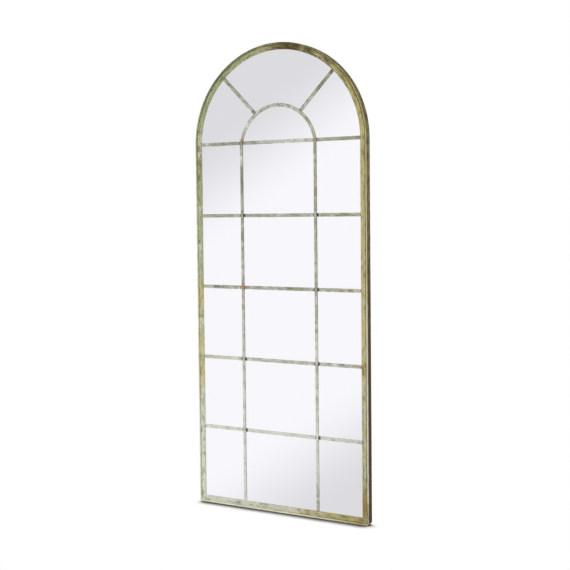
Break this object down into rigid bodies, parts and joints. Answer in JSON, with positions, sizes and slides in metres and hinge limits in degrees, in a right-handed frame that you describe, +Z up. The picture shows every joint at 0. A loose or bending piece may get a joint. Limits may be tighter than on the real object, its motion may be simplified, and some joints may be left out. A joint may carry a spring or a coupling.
{
  "type": "garden mirror",
  "caption": "Tall arched garden mirror: a welded flat-bar window frame with a fanlight head over one sheet of mirror glass, with a closed back and keyhole hangers.",
  "frame": {"origin": "middle of the base, half way through the depth", "axes": "+Z up, -Y out of the glass to the front, +X to the right seen from the front"},
  "size_m": [0.664, 0.026, 1.5999],
  "materials": {
    "distressed_paint": "sage and grey-green paint, worn and rust-stained",
    "weld_metal": "lumpy bead, painted over and rust-stained",
    "glazing_tape": "matt black foam tape",
    "mirror_glass": "silvered, polished",
    "foam_sheet": "white foam sheet",
    "back_panel": "tempered hardboard, matt",
    "zinc_steel": "zinc plated"
  },
  "bodies": {
    "root": {"rim_left": "distressed_paint", "rim_right": "distressed_paint", "rim_bottom": "distressed_paint", "rim_arch": "distressed_paint", "face_left": "distressed_paint", "face_right": "distressed_paint", "face_bottom": "distressed_paint", "face_arch": "distressed_paint", "row_bar_1": "distressed_paint", "row_bar_2": "distressed_paint", "row_bar_3": "distressed_paint", "row_bar_4": "distressed_paint", "spring_bar": "distressed_paint", "upright_left": "distressed_paint", "upright_right": "distressed_paint", "small_arch": "distressed_paint", "fan_bar_left": "distressed_paint", "fan_bar_right": "distressed_paint", "crossing_welds": "weld_metal", "glazing_tape": "glazing_tape", "mirror_glass": "mirror_glass", "foam_sheet": "foam_sheet", "back_panel": "back_panel", "retaining_tabs": "zinc_steel", "hanger_plate_left": "zinc_steel", "hanger_plate_right": "zinc_steel"}
  },
  "joints": []
}
